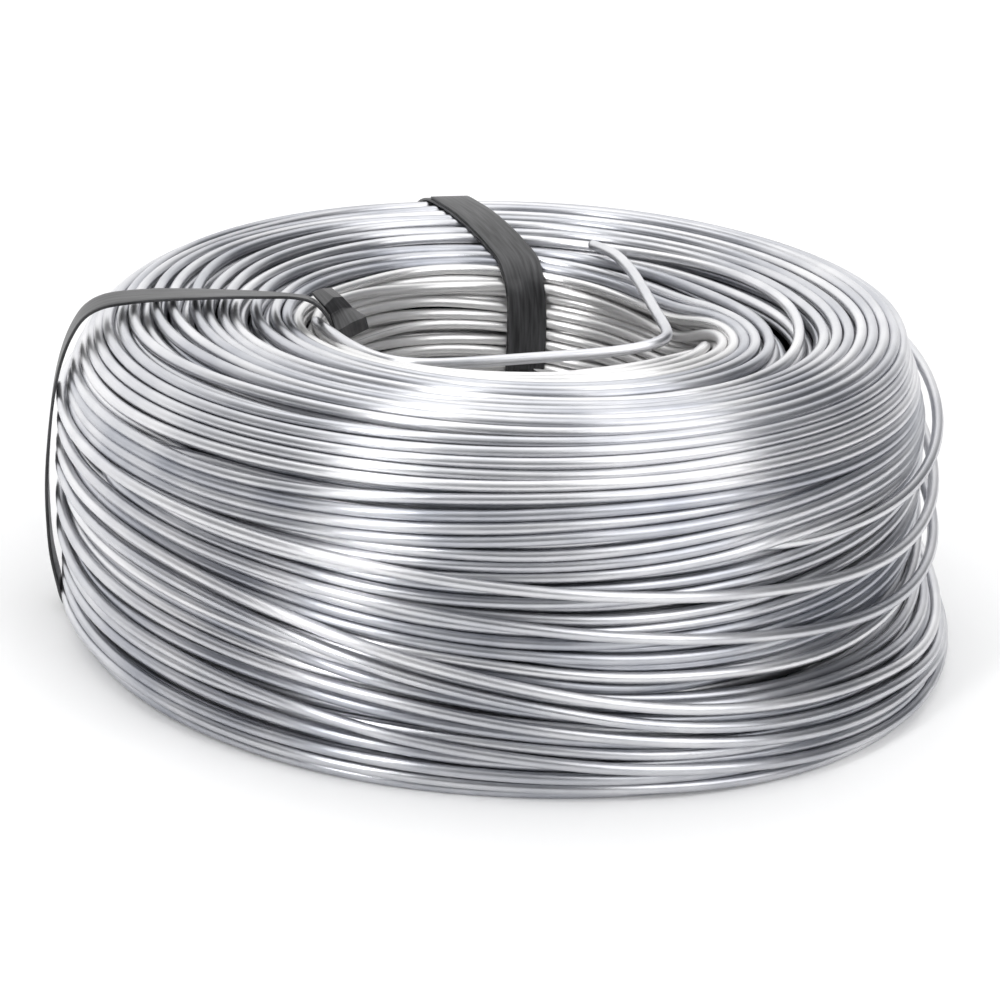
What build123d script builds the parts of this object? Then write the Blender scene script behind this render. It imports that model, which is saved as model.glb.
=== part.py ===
"""A coil of bright galvanised steel wire, lying flat, held by two plastic bands.

The axis of the coil is Z and the floor is Z = 0. +X is to the right of a viewer
who looks along +Y. The wound turns are one turned solid: a row of ridges over
the crowned top, the shoulder and the outer wall, and flat lands with grooves underneath.
The loose end of the wire and each band are solids of their own.
"""

import os
from math import atan2, cos, hypot, pi, radians, sin, sqrt, tan

from build123d import *

os.makedirs("parts", exist_ok=True)

# Coil, in millimetres
outer_radius = 135.0
bore_radius = 55.0
coil_height = 100.0
wire_diameter = 3.4
top_outer_round = 30.0
crown_drop = 14.0
bottom_outer_round = 8.0
turn_bulge_share = 0.3
groove_width_share = 0.5
groove_depth_share = 0.25

# Bands, which are flat strips wrapped once around the section of the coil. The
# touch is where on the falling crown a band lies straight, in degrees from its crest
strap_width = 12.7
strap_thickness = 0.9
strap_clearance = 0.15
strap_floor_gap = 0.1
strap_crown_touch = 60.0
strap_crown_bend = 50.0
strap_bend_room_share = 0.95
strap_rim_bend = 6.0
strap_lower_bend = 3.0
cut_overrun = 10.0

# Side band: it stands off the outer wall in a shallow bow
side_strap_angle = 187.0
side_strap_foot_inset = 1.0
side_strap_bow = 11.0
side_strap_bow_height_share = 0.42
side_strap_shoulder_inset = 7.0
side_strap_foot_bend = 4.0
side_strap_bow_bend = 65.0
side_strap_shoulder_bend = 25.0

# Back band: it lies close to the coil and crosses it askew, beside the axis
back_strap_angle = 106.0
back_strap_offset = 17.0

# Loose end of the wire: it leaves the crown, hangs along the mouth of the bore,
# kinks and crosses to the crown at the back. Each row is an angle about the axis
# in degrees, a share of the bore's radius, and a lift as a share of the wire
end_route_shares = (
    (201.0, 1.06, 0.2),
    (236.0, 1.0, 1.35),
    (258.0, 0.84, 1.65),
    (301.0, 0.81, 2.1),
    (331.0, 0.92, 2.85),
    (67.0, 1.2, 0.05),
)
end_bends = (25.0, 45.0, 45.0)
end_kink_bend = 5.0
end_clearance = 0.15

# Sizes that follow from the ones above
turn_bulge = turn_bulge_share * wire_diameter
guide_outer = outer_radius - turn_bulge
guide_top = coil_height - turn_bulge
guide_bore = bore_radius + turn_bulge
bore_wall_height = coil_height - crown_drop
crest_radius = outer_radius - top_outer_round
crown_reach = crest_radius - bore_radius
land_outer = outer_radius - bottom_outer_round
strap_under = strap_floor_gap + strap_thickness
strap_over = coil_height + 2 * strap_clearance
strap_recess = strap_clearance + strap_thickness


def strap_plane(angle, offset_from_axis):
    """Upright plane of a band, with its own X outward and its own Y up."""
    outward = (cos(radians(angle)), sin(radians(angle)), 0)
    sideways = (sin(radians(angle)), -cos(radians(angle)), 0)
    return Plane(origin=(0, 0, 0), x_dir=outward, z_dir=sideways).offset(offset_from_axis)


def along(radius, offset_from_axis):
    """How far out a circle of this radius reaches under the near edge of a band."""
    near_edge = max(0, offset_from_axis - strap_width / 2)
    return sqrt(radius**2 - near_edge**2)


def crown_height(radius):
    """Height of the crown, which falls from its crest to the rim of the bore."""
    share = min(1, (crest_radius - radius) / crown_reach)
    return bore_wall_height + crown_drop * sqrt(1 - share**2)


def crown_corners(offset_from_axis):
    """Where a band turns down on to the crown, and where it turns into the bore."""
    touch = radians(strap_crown_touch)
    slope = crown_drop / crown_reach * tan(touch)
    touch_radius = crest_radius - crown_reach * sin(touch)
    touch_height = crown_height(touch_radius) + 2 * strap_clearance
    turn_radius = touch_radius + (strap_over - touch_height) / slope
    rim_radius = bore_radius + strap_recess
    rim_height = touch_height - (touch_radius - rim_radius) * slope
    return (
        (along(turn_radius, offset_from_axis), strap_over),
        (along(bore_radius, offset_from_axis) + strap_recess, rim_height),
    )


def crown_bend(offset_from_axis):
    """Bend of a band over the crest, as far as the straight run down to the rim has room for it."""
    (turn, turn_height), (rim, rim_height) = crown_corners(offset_from_axis)
    fall = atan2(turn_height - rim_height, turn - rim)
    rim_room = strap_rim_bend * tan((pi / 2 - fall) / 2)
    run = hypot(turn - rim, turn_height - rim_height) - rim_room
    return min(strap_crown_bend, strap_bend_room_share * run / tan(fall / 2))


def end_point(angle, radius_share, lift):
    """Centre of the wire end above the crown, or above the rim where it hangs in the bore."""
    radius = radius_share * bore_radius
    height = crown_height(max(radius, bore_radius)) + wire_diameter / 2 + end_clearance + lift * wire_diameter
    return Vector(radius * cos(radians(angle)), radius * sin(radians(angle)), height)


side_plane = strap_plane(side_strap_angle, 0)
side_bore = along(bore_radius, 0) + strap_recess
side_corners = (
    (side_bore, strap_under),
    (outer_radius - side_strap_foot_inset, strap_under),
    (outer_radius + side_strap_bow, side_strap_bow_height_share * coil_height),
    (outer_radius - side_strap_shoulder_inset, strap_over),
    *crown_corners(0),
)
side_bends = [
    strap_lower_bend,
    side_strap_foot_bend,
    side_strap_bow_bend,
    side_strap_shoulder_bend,
    crown_bend(0),
    strap_rim_bend,
]

back_plane = strap_plane(back_strap_angle, back_strap_offset)
back_bore = along(bore_radius, back_strap_offset) + strap_recess
back_outer = along(outer_radius, back_strap_offset) + 2 * strap_clearance
back_corners = (
    (back_bore, strap_under),
    (back_outer, strap_under),
    (back_outer, strap_over),
    *crown_corners(back_strap_offset),
)
back_bends = [
    strap_lower_bend,
    bottom_outer_round,
    top_outer_round,
    crown_bend(back_strap_offset),
    strap_rim_bend,
]

# Guide line that the ridges of the turns follow, from the bore over the top to the floor
with BuildLine(Plane.XZ) as guide:
    shoulder_centre = (crest_radius, coil_height - top_outer_round)
    shoulder_bend = top_outer_round - turn_bulge
    foot_centre = (land_outer, bottom_outer_round)
    foot_bend = bottom_outer_round - turn_bulge
    EllipticalCenterArc(
        (crest_radius, bore_wall_height),
        crown_reach - turn_bulge,
        crown_drop - turn_bulge,
        start_angle=180,
        arc_size=-90,
    )
    CenterArc(shoulder_centre, shoulder_bend, 90, -90)
    Line((guide_outer, shoulder_centre[1]), (guide_outer, foot_centre[1]))
    CenterArc(foot_centre, foot_bend, 0, -90)
guide_line = guide.wire()
turn_count = round(guide_line.length / wire_diameter)
land_count = round((land_outer - bore_radius) / wire_diameter)
land_pitch = (land_outer - bore_radius) / land_count
groove_half = groove_width_share * land_pitch / 2
groove_depth = groove_depth_share * land_pitch

# Wound turns
with BuildPart() as wire_coil:
    with BuildSketch(Plane.XZ):
        with BuildLine():
            Line((bore_radius, 0), (bore_radius, bore_wall_height))
            Line((bore_radius, bore_wall_height), (guide_bore, bore_wall_height))
            for turn in range(turn_count):
                first = guide_line.position_at(turn / turn_count)
                middle = guide_line.position_at((turn + 0.5) / turn_count)
                last = guide_line.position_at((turn + 1) / turn_count)
                forward = guide_line.tangent_at((turn + 0.5) / turn_count)
                crest = (middle.X - forward.Z * turn_bulge, middle.Z + forward.X * turn_bulge)
                ThreePointArc((first.X, first.Z), crest, (last.X, last.Z))
            Line((land_outer, turn_bulge), (land_outer, 0))
            land_start = land_outer
            for land in range(land_count):
                groove = land_outer - (land + 0.5) * land_pitch
                Line((land_start, 0), (groove + groove_half, 0))
                ThreePointArc((groove + groove_half, 0), (groove, groove_depth), (groove - groove_half, 0))
                land_start = groove - groove_half
            Line((land_start, 0), (bore_radius, 0))
        make_face()
    revolve(axis=Axis.Z)
    for plane, corners, bends in (
        (side_plane, side_corners, side_bends),
        (back_plane, back_corners, back_bends),
    ):
        with BuildSketch(plane):
            with Locations((outer_radius / 2 + cut_overrun, coil_height / 2)):
                Rectangle(outer_radius + 2 * cut_overrun, coil_height + 2 * cut_overrun)
            with BuildLine(mode=Mode.PRIVATE) as loop:
                FilletPolyline(*corners, radius=bends, close=True)
            make_face(offset(loop.line, -strap_clearance, mode=Mode.PRIVATE).edges(), mode=Mode.SUBTRACT)
        extrude(amount=strap_width / 2 + strap_clearance, both=True, mode=Mode.SUBTRACT)
wire_coil.part.label = "wire_coil"
export_step(wire_coil.part, "parts/wire_coil.step")

# Side band
with BuildPart() as side_strap:
    with BuildSketch(side_plane):
        with BuildLine() as side_loop:
            FilletPolyline(*side_corners, radius=side_bends, close=True)
        make_face()
        offset(amount=strap_thickness)
        make_face(side_loop.edges(), mode=Mode.SUBTRACT)
    extrude(amount=strap_width / 2, both=True)
side_strap.part.label = "side_strap"
export_step(side_strap.part, "parts/side_strap.step")

# Back band
with BuildPart() as back_strap:
    with BuildSketch(back_plane):
        with BuildLine() as back_loop:
            FilletPolyline(*back_corners, radius=back_bends, close=True)
        make_face()
        offset(amount=strap_thickness)
        make_face(back_loop.edges(), mode=Mode.SUBTRACT)
    extrude(amount=strap_width / 2, both=True)
back_strap.part.label = "back_strap"
export_step(back_strap.part, "parts/back_strap.step")

# Loose end of the wire
with BuildPart() as wire_end:
    with BuildLine() as end_path:
        end_points = [end_point(*row) for row in end_route_shares]
        FilletPolyline(*end_points, radius=[*end_bends, end_kink_bend])
    with BuildSketch(Plane(origin=end_path.line @ 0, z_dir=end_path.line % 0)):
        Circle(wire_diameter / 2)
    sweep()
wire_end.part.label = "wire_end"
export_step(wire_end.part, "parts/wire_end.step")

print("ridges", turn_count, "lands", land_count, "end length", round(end_path.wire().length, 1))
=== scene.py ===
# %% [markdown]
# # A coil of galvanised wire
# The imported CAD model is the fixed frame: every piece below is laid over one of its four solids, in
# metres, with the floor at Z = 0 and the coil's axis on Z. The CAD coil is one turned solid, so the
# work here is to give it what a real coil has: separate turns that bunch, gap and cross, two plastic
# bands and a loose end.

# %% Load the frame
import math

import bpy
import numpy as np
from mathutils import Matrix, Vector


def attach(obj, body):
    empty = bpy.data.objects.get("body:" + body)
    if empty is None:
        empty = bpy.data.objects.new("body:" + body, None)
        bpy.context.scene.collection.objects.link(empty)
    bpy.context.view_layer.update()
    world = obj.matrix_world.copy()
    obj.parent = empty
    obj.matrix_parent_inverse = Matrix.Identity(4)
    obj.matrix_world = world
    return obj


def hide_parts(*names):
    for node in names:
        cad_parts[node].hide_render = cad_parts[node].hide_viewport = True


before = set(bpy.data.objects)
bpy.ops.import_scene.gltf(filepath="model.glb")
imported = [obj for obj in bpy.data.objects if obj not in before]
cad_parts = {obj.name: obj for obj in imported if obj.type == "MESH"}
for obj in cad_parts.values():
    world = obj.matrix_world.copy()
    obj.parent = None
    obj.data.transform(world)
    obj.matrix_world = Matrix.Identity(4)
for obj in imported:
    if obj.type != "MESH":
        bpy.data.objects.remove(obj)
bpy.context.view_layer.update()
bpy.context.scene.view_settings.view_transform = "Standard"
print("CAD nodes:", sorted(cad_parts))

# %% [markdown]
# ## The camera
# The photograph looks down on the coil by about 21 degrees from 0.9 m, leans a little to one side,
# and uses a long lens. A camera could be turned by hand until it fits. Here its three directions are
# worked out from the rise and the lean, so that each can be set by itself.

# %% Camera
VIEW_RISE = math.radians(21.3)
VIEW_LEAN = math.radians(2.6)
VIEW_DISTANCE = 0.9
VIEW_CENTRE = Vector((-0.0017, 0.0, 0.034))
SENSOR_WIDTH = 36.0
FOCAL_SHARE = 2.934
towards_camera = Vector((0.0, -math.cos(VIEW_RISE), math.sin(VIEW_RISE)))
level_right = Vector((1.0, 0.0, 0.0))
level_up = towards_camera.cross(level_right)
camera_right = math.cos(VIEW_LEAN) * level_right + math.sin(VIEW_LEAN) * level_up
camera_up = towards_camera.cross(camera_right)

camera_data = bpy.data.cameras.new("camera")
camera_data.sensor_width = SENSOR_WIDTH
camera_data.lens = SENSOR_WIDTH * FOCAL_SHARE
camera = bpy.data.objects.new("camera", camera_data)
bpy.context.scene.collection.objects.link(camera)
camera.matrix_world = Matrix.Translation(VIEW_CENTRE + VIEW_DISTANCE * towards_camera) @ Matrix(
    (camera_right, camera_up, towards_camera)).transposed().to_4x4()
bpy.context.scene.camera = camera
print("camera stands at", [round(v, 3) for v in camera.matrix_world.translation])

# %% [markdown]
# ## The section of the coil
# Cut through on one side of its axis, the coil is a lump with a straight bore wall, a crowned top, a
# wide rounded shoulder and a small rounded foot. All the turns are laid from this outline, in
# millimetres: the first row just inside it, and two more rows behind that, because the gaps between
# turns look into them.

# %% Outline of the section
WIRE = 3.4
OUTER, BORE, HEIGHT = 135.0, 55.0, 100.0
SHOULDER, FOOT, HEEL = 30.0, 8.0, 8.0
CREST = OUTER - SHOULDER
CROWN_DROP = 14.0
ROUND_POINTS, SHOULDER_POINTS, CROWN_POINTS = 40, 60, 80


def crown_height(radius):
    """Height of the crowned top between the bore and the crest."""
    share = np.clip((CREST - radius) / (CREST - BORE), 0.0, 1.0)
    return HEIGHT - CROWN_DROP + CROWN_DROP * np.sqrt(1.0 - share**2)


def arc(centre, radius, start, end, count):
    """Points on a round corner of the outline, between two angles in degrees."""
    turn = np.radians(np.linspace(start, end, count))
    return np.stack([centre[0] + radius * np.cos(turn), centre[1] + radius * np.sin(turn)], axis=1)


crown_turn = np.radians(np.linspace(90, 180, CROWN_POINTS))
outline = np.concatenate([
    arc((OUTER - FOOT, FOOT), FOOT, 270, 360, ROUND_POINTS),
    arc((CREST, HEIGHT - SHOULDER), SHOULDER, 0, 90, SHOULDER_POINTS),
    np.stack([CREST + (CREST - BORE) * np.cos(crown_turn),
              HEIGHT - CROWN_DROP + CROWN_DROP * np.sin(crown_turn)], axis=1)[1:],
    arc((BORE + HEEL, HEEL), HEEL, 180, 270, ROUND_POINTS),
])
outline = np.concatenate([outline, outline[:1]])
outline_run = np.concatenate([[0.0], np.cumsum(np.hypot(*np.diff(outline, axis=0).T))])
OUTLINE_LENGTH = outline_run[-1]
SHOULDER_END = FOOT * math.pi / 2 + (HEIGHT - SHOULDER - FOOT) + SHOULDER * math.pi / 2
BORE_END = OUTLINE_LENGTH - (OUTER - BORE - FOOT - HEEL) - HEEL * math.pi / 2
CROWN_END = BORE_END - (HEIGHT - CROWN_DROP - HEEL)
HALF_STEP = 0.6


def on_outline(run, inset):
    """Points at these distances along the outline, moved inwards by the inset."""
    def at(place):
        place = place % OUTLINE_LENGTH
        return np.stack([np.interp(place, outline_run, outline[:, k]) for k in (0, 1)], axis=-1)

    ahead = at(run + HALF_STEP) - at(run - HALF_STEP)
    ahead /= np.linalg.norm(ahead, axis=-1, keepdims=True)
    return at(run) + inset * np.stack([-ahead[..., 1], ahead[..., 0]], axis=-1)


print("outline of the section:", round(OUTLINE_LENGTH, 1), "mm round, crown ends at", round(CROWN_END, 1))

# %% [markdown]
# ## How the turns flow
# On the real coil the turns are not level. Seen from the front, a family of them runs down from left
# to right and gathers in a bundle at the lower right, the ones above climb away from it, and a dark
# opening is left between the two. Drawing each turn by hand would take too long. The table gives, at
# some angles about the axis, how far up the wall and shoulder six chosen turns run, in millimetres
# from the foot. Every other turn is placed between its neighbours in the table.

# %% Flow of the turns on the wall
STATIONS = 144
SOFTEN_WIDTH, SOFTEN_REACH = 2.0, 6
FRONT = 270
angles = np.radians(np.arange(STATIONS) * 360.0 / STATIONS)
flow_start = np.array([22.0, 32.0, 36.0, 46.0, 61.6, 81.0])
flow_table = np.array([
    (0, 14.0, 20.0, 44.0, 57.0, 70.0, 84.5),
    (30, 19.0, 29.0, 43.0, 55.0, 68.0, 83.0),
    (60, 23.0, 34.0, 43.0, 54.0, 66.0, 81.0),
    (90, 26.0, 38.0, 45.0, 55.0, 65.0, 79.0),
    (120, 29.0, 42.0, 47.0, 56.0, 65.0, 77.0),
    (150, 32.0, 46.0, 50.0, 58.0, 66.0, 74.0),
    (180, 33.0, 48.0, 51.0, 59.0, 66.0, 72.0),
    (203, 32.0, 47.0, 50.0, 58.0, 66.0, 71.0),
    (225, 29.5, 47.0, 50.0, 56.5, 65.0, 74.0),
    (240, 28.5, 45.0, 48.5, 54.0, 62.5, 75.0),
    (252, 26.0, 41.0, 44.5, 51.0, 60.5, 76.5),
    (262, 23.5, 37.0, 40.5, 48.0, 60.5, 79.0),
    (274, 22.0, 32.0, 36.0, 46.0, 61.6, 81.0),
    (285, 20.0, 28.5, 32.8, 45.8, 62.4, 82.5),
    (297, 18.0, 25.0, 30.0, 47.0, 64.0, 84.0),
    (311, 15.5, 23.0, 29.5, 49.0, 66.0, 85.0),
    (325, 13.5, 20.5, 32.5, 51.5, 68.0, 85.5),
    (340, 11.0, 16.0, 39.0, 55.5, 70.0, 85.0),
])


def around(table_angles, values):
    """Values given at some angles, read at every station round the coil and softened."""
    read = np.interp(np.degrees(angles), table_angles, values, period=360)
    spread = np.arange(-SOFTEN_REACH, SOFTEN_REACH + 1)
    weights = np.exp(-0.5 * (spread / SOFTEN_WIDTH) ** 2)
    return sum(w * np.roll(read, k) for k, w in zip(spread, weights)) / weights.sum()


def bump(centre, width):
    """1 at an angle in degrees, falling smoothly to 0 on both sides of it."""
    away = (np.degrees(angles) - centre + 180.0) % 360.0 - 180.0
    return np.exp(-0.5 * (away / width) ** 2)


flow_now = np.stack([around(flow_table[:, 0], column) for column in flow_table[:, 1:].T], axis=1)
FOOT_RUN = FOOT * math.pi / 2 - FOOT
flow_from = np.concatenate([[-FOOT_RUN], flow_start, [SHOULDER_END - FOOT_RUN]])
print("flow at the front:", flow_now[np.argmin(abs(np.degrees(angles) - FRONT))].round(1))

# %% [markdown]
# ## A coil out of round
# A coil that has been handled is no longer a true turned shape. The right side of this one is pulled
# in over its foot, the left side a little less, and at the front right the foot spreads out. A
# lattice could push a finished mesh about. Here the same pinch moves the lines of the turns before
# they become wire, so the wire keeps its thickness.

# %% Pulled-in sides and spread foot
RIGHT_SIDE, LEFT_SIDE, FRONT_RIGHT = (4, 34), (183, 45), (313, 23)
pinch_heights = (0, 4, 10, 20, 30, 40, 55, 70, 80, 90, 96, 100)
pinch_right = (0.0, 2.0, 5.1, 7.7, 8.8, 9.8, 11.5, 11.7, 10.5, 5.5, 0.8, 0.0)
pinch_left = (0.0, 0.0, 0.0, 0.3, 1.0, 2.0, 2.5, 2.5, 2.0, 1.2, 0.6, 0.0)
flare_heights = (0, 8, 18, 28, 42)
flare_front_right = (7.5, 8.0, 7.0, 3.5, 0.0)


def flare(height):
    """How far the foot spreads out at these heights, at every station."""
    return bump(*FRONT_RIGHT) * np.interp(height, flare_heights, flare_front_right)


def pinch(height):
    """How far the wall is pulled in at these heights, at every station."""
    return (bump(*RIGHT_SIDE) * np.interp(height, pinch_heights, pinch_right)
            + bump(*LEFT_SIDE) * np.interp(height, pinch_heights, pinch_left) - flare(height))


def pull_in(points):
    """Moves points inwards by the pinch, all of it at the wall and none at the bore."""
    share = np.clip((points[..., 0] - BORE) / (OUTER - BORE), 0.0, 1.0)
    points[..., 0] -= pinch(points[..., 1]) * share
    return points


print("right side pulled in by up to", max(pinch_right), "mm, foot spread by", max(flare_front_right))

# %% [markdown]
# More shows from above. The turns of the crown are not round either: they lie nearest the axis at the
# back right and swing out to a corner at the front right. There they also part and leave a dark
# crescent. The rim of the bore stands higher at the front than at the back, and the coil has sunk a
# little under both bands.

# %% Corner, crescent and rim
corner_swing = around((-90, -60, -40, -25, -10, 5, 20, 40, 60, 90, 130, 180, 225),
                      (8, 12, 14, 10, 3, -3, -7, -9, -8, -6, -3, 0, 3))
corner_runs = (SHOULDER_END - 40.0, SHOULDER_END, SHOULDER_END + 25.0, CROWN_END + 5.0, BORE_END - 10.0)
corner_share = (0.0, 0.36, 1.0, 1.0, 0.0)
CRESCENT_OPENING, CRESCENT_EDGE, CRESCENT_REACH = 6.0, 3.5, 18.0
crescent_radius = around((-90, -40, -23, -8, 8, 25, 42, 58, 150), (95, 94, 88, 80, 75, 70, 69, 70, 72))
crescent_width = CRESCENT_OPENING * np.clip(bump(centre=14, width=24) * 1.5, 0.0, 1.0)
rim_lift = around((0, 30, 90, 150, 187, 230, 270, 300, 330), (4, 0, 0, 0, 3, 5.5, 7, 8, 7))
sink = 2.0 * bump(centre=187, width=40) + 1.3 * bump(centre=95, width=40)
LIFT_HEIGHTS, SINK_HEIGHTS = (45.0, 84.0), (60.0, 92.0)


def smooth_step(values, low, high):
    """0 below the low value, 1 above the high one, and a soft climb between them."""
    share = np.clip((values - low) / (high - low), 0.0, 1.0)
    return share**2 * (3.0 - 2.0 * share)


def open_crescent(run, share):
    """Moves turns of the crown away from the crescent, along the outline."""
    away = on_outline(run, 0.5 * WIRE)[..., 0] - crescent_radius
    push = crescent_width * np.tanh(away / CRESCENT_EDGE) * np.exp(-((away / CRESCENT_REACH) ** 2))
    return run - share * push


def lift_rim(points):
    """Raises the crown towards the bore at the front, and lowers it under the bands."""
    inwards = np.clip((CREST - points[..., 0]) / (CREST - BORE), 0.0, 1.0)
    rise = rim_lift * (1.0 - np.sqrt(1.0 - inwards**2))
    points[..., 1] += (rise * smooth_step(points[..., 1], *LIFT_HEIGHTS)
                       - sink * smooth_step(points[..., 1], *SINK_HEIGHTS))


print("crescent runs from", crescent_radius.min().round(1), "to", crescent_radius.max().round(1), "mm")

# %% [markdown]
# ## Laying the turns
# Wound wire is never even: neighbours bunch together and part, and each turn wanders a little. Two
# kinds of smooth random wave give that, one shared by neighbours and one for each turn alone. The seed
# is fixed, so every run lays the same coil.

# %% Waves that make the turns uneven
chance = np.random.default_rng(7)
WAVER_MODES = (1, 2, 3, 4, 5, 6)
WAVER_FALL, WAVER_SHARE = 0.8, 1.6
BUNCH_WAVES, BUNCH_LOBES, BUNCH_SHARE = 20, 5, 4.5
BUNCH_LENGTHS = (9.0, 45.0)


def waver(count, size):
    """A smooth closed wander round the coil for each of some turns."""
    out = np.zeros((count, STATIONS))
    for mode in WAVER_MODES:
        swing = chance.normal(0.0, size / mode**WAVER_FALL, (count, 1))
        out += swing * np.cos(mode * angles[None, :] + chance.uniform(0, 2 * math.pi, (count, 1)))
    return out / WAVER_SHARE


def bunching(run):
    """Slow wave along the section and round the coil, shared by neighbouring turns."""
    out = np.zeros((len(run), STATIONS))
    for _ in range(BUNCH_WAVES):
        length = chance.uniform(*BUNCH_LENGTHS)
        lobes = chance.integers(0, BUNCH_LOBES)
        out += chance.normal(0, 1.0) * np.sin(
            2 * math.pi * run[:, None] / length + lobes * angles[None, :] + chance.uniform(0, 2 * math.pi))
    return out / BUNCH_SHARE


print("waves ready:", len(WAVER_MODES), "for each turn,", BUNCH_WAVES, "shared")

# %% [markdown]
# Each turn starts at an even place on its row, a little wider apart on top. The flow table moves the
# turns of the wall, the swing and the crescent move those of the crown, and the pinch comes last. The
# third row doesn't follow the flow: it stays level and closes the openings from behind.

# %% Lay three rows of turns
row_insets = (0.5 * WIRE, 1.4 * WIRE, 2.3 * WIRE)
row_spacing = (1.13 * WIRE, 1.12 * WIRE, 1.15 * WIRE)
row_loosen = (0.24, 0.2, 0.1)
row_follow = (1.0, 0.75, 0.0)
START_SCATTER = 0.1 * WIRE
BUNCH_SIZE, BUNCH_FADE = 2.3, 0.6
WANDER, SHAKE, SHAKE_SHARE = 0.6, 0.5, 0.35
CRESCENT_FADE, CRESCENT_OVERRUN = 0.25, 15.0
DEEP_START, BORE_FOOT = 4.0, BORE_END - 8.0
every_run = np.linspace(0.0, OUTLINE_LENGTH, num=4000)
on_top = smooth_step(every_run, low=SHOULDER_END - 12.0, high=SHOULDER_END + 6.0) * (every_run < BORE_END)
laid, section_run, row_of = [], [], []
for row, (inset, spacing, follow) in enumerate(zip(row_insets, row_spacing, row_follow)):
    apart = (spacing * (1.0 + row_loosen[row] * on_top[1:])
             * OUTLINE_LENGTH / (OUTLINE_LENGTH - 2 * math.pi * inset))
    counted = np.concatenate([[0.0], np.cumsum(np.diff(every_run) / apart)])
    count = int(counted[-1])
    start = np.interp((np.arange(count) + 0.5 * (row % 2)) * counted[-1] / count, counted, every_run)
    start = start + chance.normal(0, START_SCATTER, count)
    if row > 0:
        start = start[(start < BORE_FOOT) & (start > DEEP_START)]
        count = len(start)
    run = start[:, None] + (BUNCH_SIZE - BUNCH_FADE * row) * bunching(start) + waver(count, WANDER)
    on_wall = start < SHOULDER_END
    moved = np.stack([np.interp(start[on_wall] - FOOT_RUN, flow_from,
                                np.concatenate([[-FOOT_RUN], now, flow_from[-1:]])) + FOOT_RUN
                      for now in flow_now], axis=1)
    run[on_wall] += follow * (moved - start[on_wall, None])
    run -= np.interp(start, corner_runs, corner_share)[:, None] * corner_swing
    on_crown = (start > SHOULDER_END) & (start < CROWN_END + CRESCENT_OVERRUN)
    run[on_crown] = open_crescent(run[on_crown], 1.0 - CRESCENT_FADE * row)
    place = on_outline(np.sort(run, axis=0), inset)
    place += SHAKE_SHARE * np.stack([waver(count, SHAKE), waver(count, SHAKE)], axis=-1)
    laid.append(pull_in(place))
    section_run.append(start)
    row_of.append(np.full(count, row))
laid = np.concatenate(laid)
section_run = np.concatenate(section_run)
row_of = np.concatenate(row_of)
print("turns laid:", len(laid), "in rows of", np.bincount(row_of))

# %% [markdown]
# A few turns lie loose on the outside. Four belong to the family that sweeps down across the front,
# five fill the openings that this leaves, and three spring out at the right, where nothing holds
# them. Each is given as angle, outer radius and height, and follows a smooth line between those
# places.

# %% Loose turns on the outside
front_sweeps = (
    ((0, 133, 15), (60, 133, 36), (95, 132.5, 41), (120, 133.5, 46), (180, 136, 55), (203, 136, 54),
     (219, 136, 53), (243, 137, 49), (256, 137, 41), (274, 138, 34), (285, 139, 28), (297, 141, 24),
     (311, 141.5, 22.5), (325, 139.5, 20), (340, 135.5, 15)),
    ((0, 134, 10), (60, 133, 30), (95, 132.5, 36), (120, 133.5, 42), (180, 136, 50), (203, 136, 49),
     (225, 136, 47), (243, 136, 43), (256, 136, 37), (274, 138, 29), (285, 140, 24), (297, 142, 19),
     (311, 142.5, 17.5), (325, 140.5, 15), (340, 136, 10.5)),
    ((0, 135.5, 4), (60, 133, 14), (95, 132.5, 18), (120, 133.5, 22), (180, 136, 30), (203, 136, 28),
     (225, 136, 24), (243, 136, 21), (262, 136.5, 16), (285, 139, 10), (311, 142.5, 6),
     (325, 140.5, 4.5), (340, 136.5, 3.5)),
    ((0, 135, 7), (60, 133, 22), (95, 132.5, 28), (120, 133.5, 33), (180, 136, 40), (203, 136, 37),
     (225, 136, 33), (243, 136, 31), (262, 136.5, 26), (285, 140, 20), (297, 142, 15),
     (311, 142.5, 12.5), (325, 140.5, 9.5), (340, 136.5, 7)),
)
front_fillers = (
    ((0, 121.5, 46), (60, 129, 50), (120, 129, 52), (200, 129, 54), (250, 129.5, 46), (274, 131.5, 39),
     (285, 134.5, 37.5), (297, 133.8, 36.5), (311, 132.8, 37), (325, 130.3, 39), (340, 126, 42)),
    ((0, 121.5, 36), (60, 129, 40), (120, 129, 44), (200, 129, 46), (250, 129.5, 40), (274, 131.5, 34.5),
     (285, 134.5, 33.5), (297, 133.8, 32), (311, 132.8, 32.5), (325, 130.3, 34.5), (340, 126, 37)),
    ((0, 121.5, 51), (60, 129, 54), (120, 129, 56), (200, 129, 58), (250, 129.5, 50), (274, 131.5, 43),
     (285, 134.5, 41.5), (297, 133.8, 41), (311, 132.8, 42), (325, 130.3, 44), (340, 126, 47)),
)
left_fillers = (
    ((0, 118, 22), (60, 124, 26), (100, 128, 30), (150, 133, 36), (180, 133.5, 38), (203, 134, 37),
     (225, 134.8, 35.5), (240, 135, 34), (252, 135, 31.5), (262, 134.5, 28.5), (274, 131, 26),
     (300, 126, 20), (330, 122, 18)),
    ((0, 118, 27), (60, 124, 31), (100, 128, 35), (150, 133, 41), (180, 133.5, 43), (203, 134, 42),
     (225, 134.8, 41), (240, 135, 39.5), (252, 135, 36), (262, 134.5, 32.5), (274, 131, 29),
     (300, 126, 25), (330, 122, 22)),
)
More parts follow.
